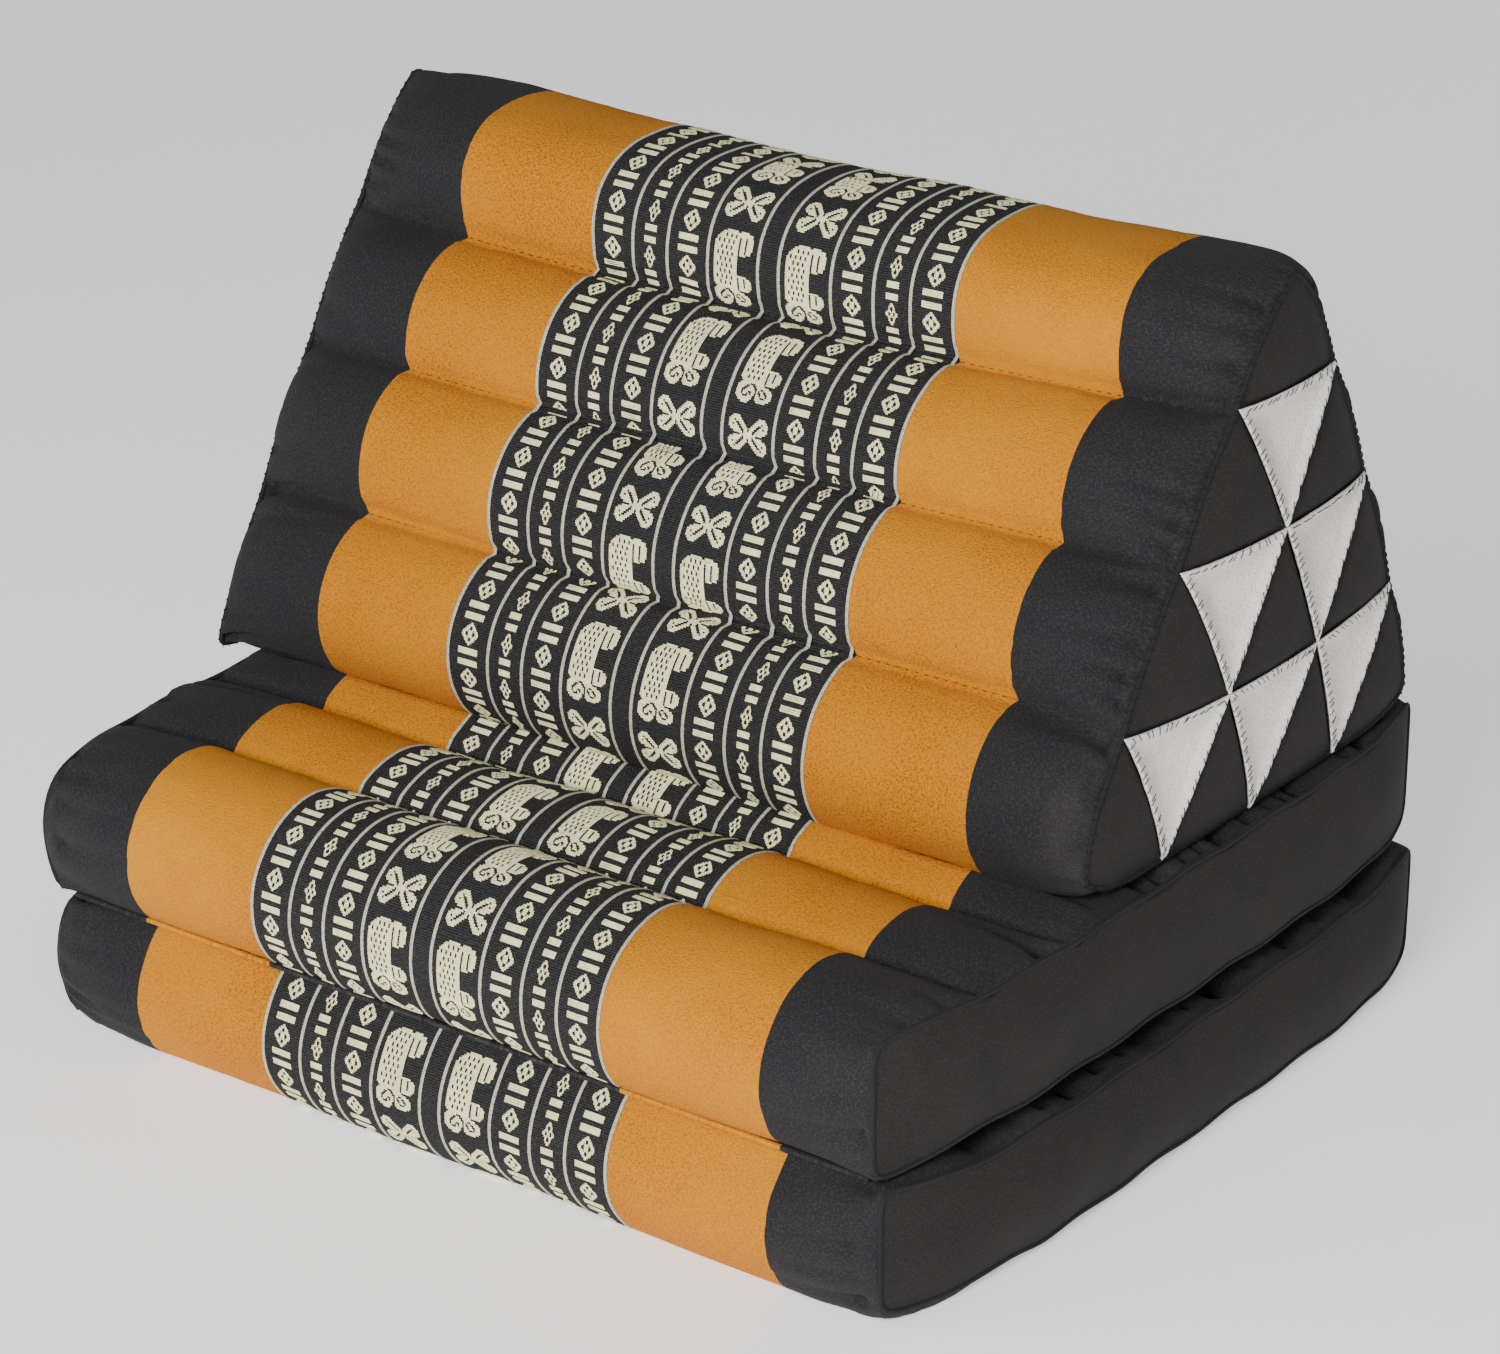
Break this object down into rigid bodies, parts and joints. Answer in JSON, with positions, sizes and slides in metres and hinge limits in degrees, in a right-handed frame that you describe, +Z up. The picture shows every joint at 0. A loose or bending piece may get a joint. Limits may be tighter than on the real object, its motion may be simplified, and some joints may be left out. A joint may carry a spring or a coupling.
{
  "type": "folding floor cushion with triangular backrest",
  "caption": "Stuffed triangular backrest on a seat mat folded in two, with sewn rolls of filling and patchwork ends of drawn-in triangles.",
  "frame": {"origin": "Centre of the object's bounding box in X and Y, on the floor.", "axes": "+X runs along the rolls towards the end that shows in the picture, +Y from the front fold to the back, +Z up."},
  "size_m": [0.5546, 0.4924, 0.433],
  "materials": {
    "black_cotton": "matte black plain-weave cotton",
    "orange_cotton": "matte orange cotton with fine dark flecks",
    "woven_band": "black ribbed ground cloth with cream supplementary-weft motifs",
    "cream_yarn": "cream cotton yarn standing proud of the band",
    "white_cotton": "undyed white cotton with a visible weave",
    "sewing_thread": "black sewing thread"
  },
  "bodies": {
    "root": {"backrest": "black_cotton", "upper_mat": "black_cotton", "lower_mat": "black_cotton", "front_fold_seam": "black_cotton", "back_fold_seam": "black_cotton", "patch_right_1": "white_cotton", "patch_right_2": "white_cotton", "patch_right_3": "white_cotton", "patch_right_4": "white_cotton", "patch_right_5": "white_cotton", "patch_right_6": "white_cotton", "patch_left_1": "white_cotton", "patch_left_2": "white_cotton", "patch_left_3": "white_cotton", "patch_left_4": "white_cotton", "patch_left_5": "white_cotton", "patch_left_6": "white_cotton"}
  },
  "joints": []
}
